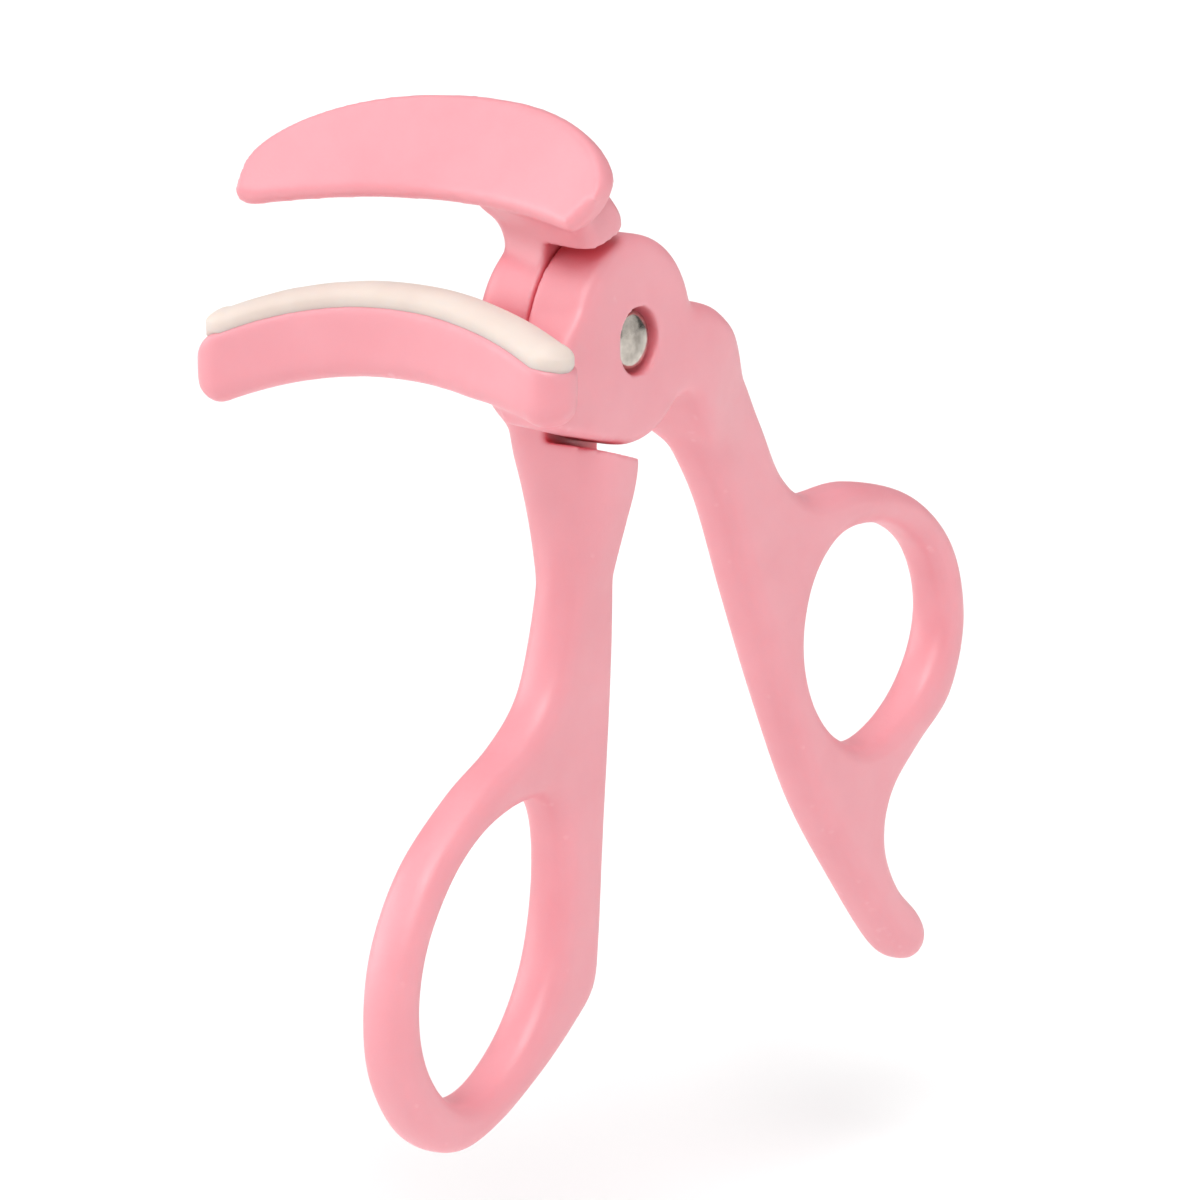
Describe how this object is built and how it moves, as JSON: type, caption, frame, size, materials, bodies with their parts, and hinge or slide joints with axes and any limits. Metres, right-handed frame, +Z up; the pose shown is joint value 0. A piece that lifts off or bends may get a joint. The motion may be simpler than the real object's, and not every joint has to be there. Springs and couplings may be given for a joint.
{
  "type": "eyelash curler",
  "caption": "Hand-held scissor-type eyelash curler: two curved jaws, the lower with a soft pad, on plastic levers with finger and thumb rings that turn about a rivet.",
  "frame": {"origin": "centre of the bottom of the bounding box, jaws open", "axes": "+X from the jaws towards the thumb ring, +Y along the rivet from its head to its tail, +Z up towards the jaws"},
  "size_m": [0.083, 0.034, 0.0783],
  "materials": {
    "pink_plastic": "satin",
    "silicone": "matte",
    "plated_steel": "polished"
  },
  "bodies": {
    "upper_lever": {"upper_jaw_lever": "pink_plastic", "pivot_rivet": "plated_steel", "rivet_washer": "plated_steel"},
    "lower_lever": {"lower_jaw_lever": "pink_plastic", "lash_pad": "silicone"}
  },
  "joints": [
    {"name": "jaw_hinge", "type": "hinge", "parent": "upper_lever", "child": "lower_lever", "pos_m": [-0.01335, -0.00979, 0.0608], "axis": [0, 1, 0], "range_deg": [0, 36]}
  ]
}
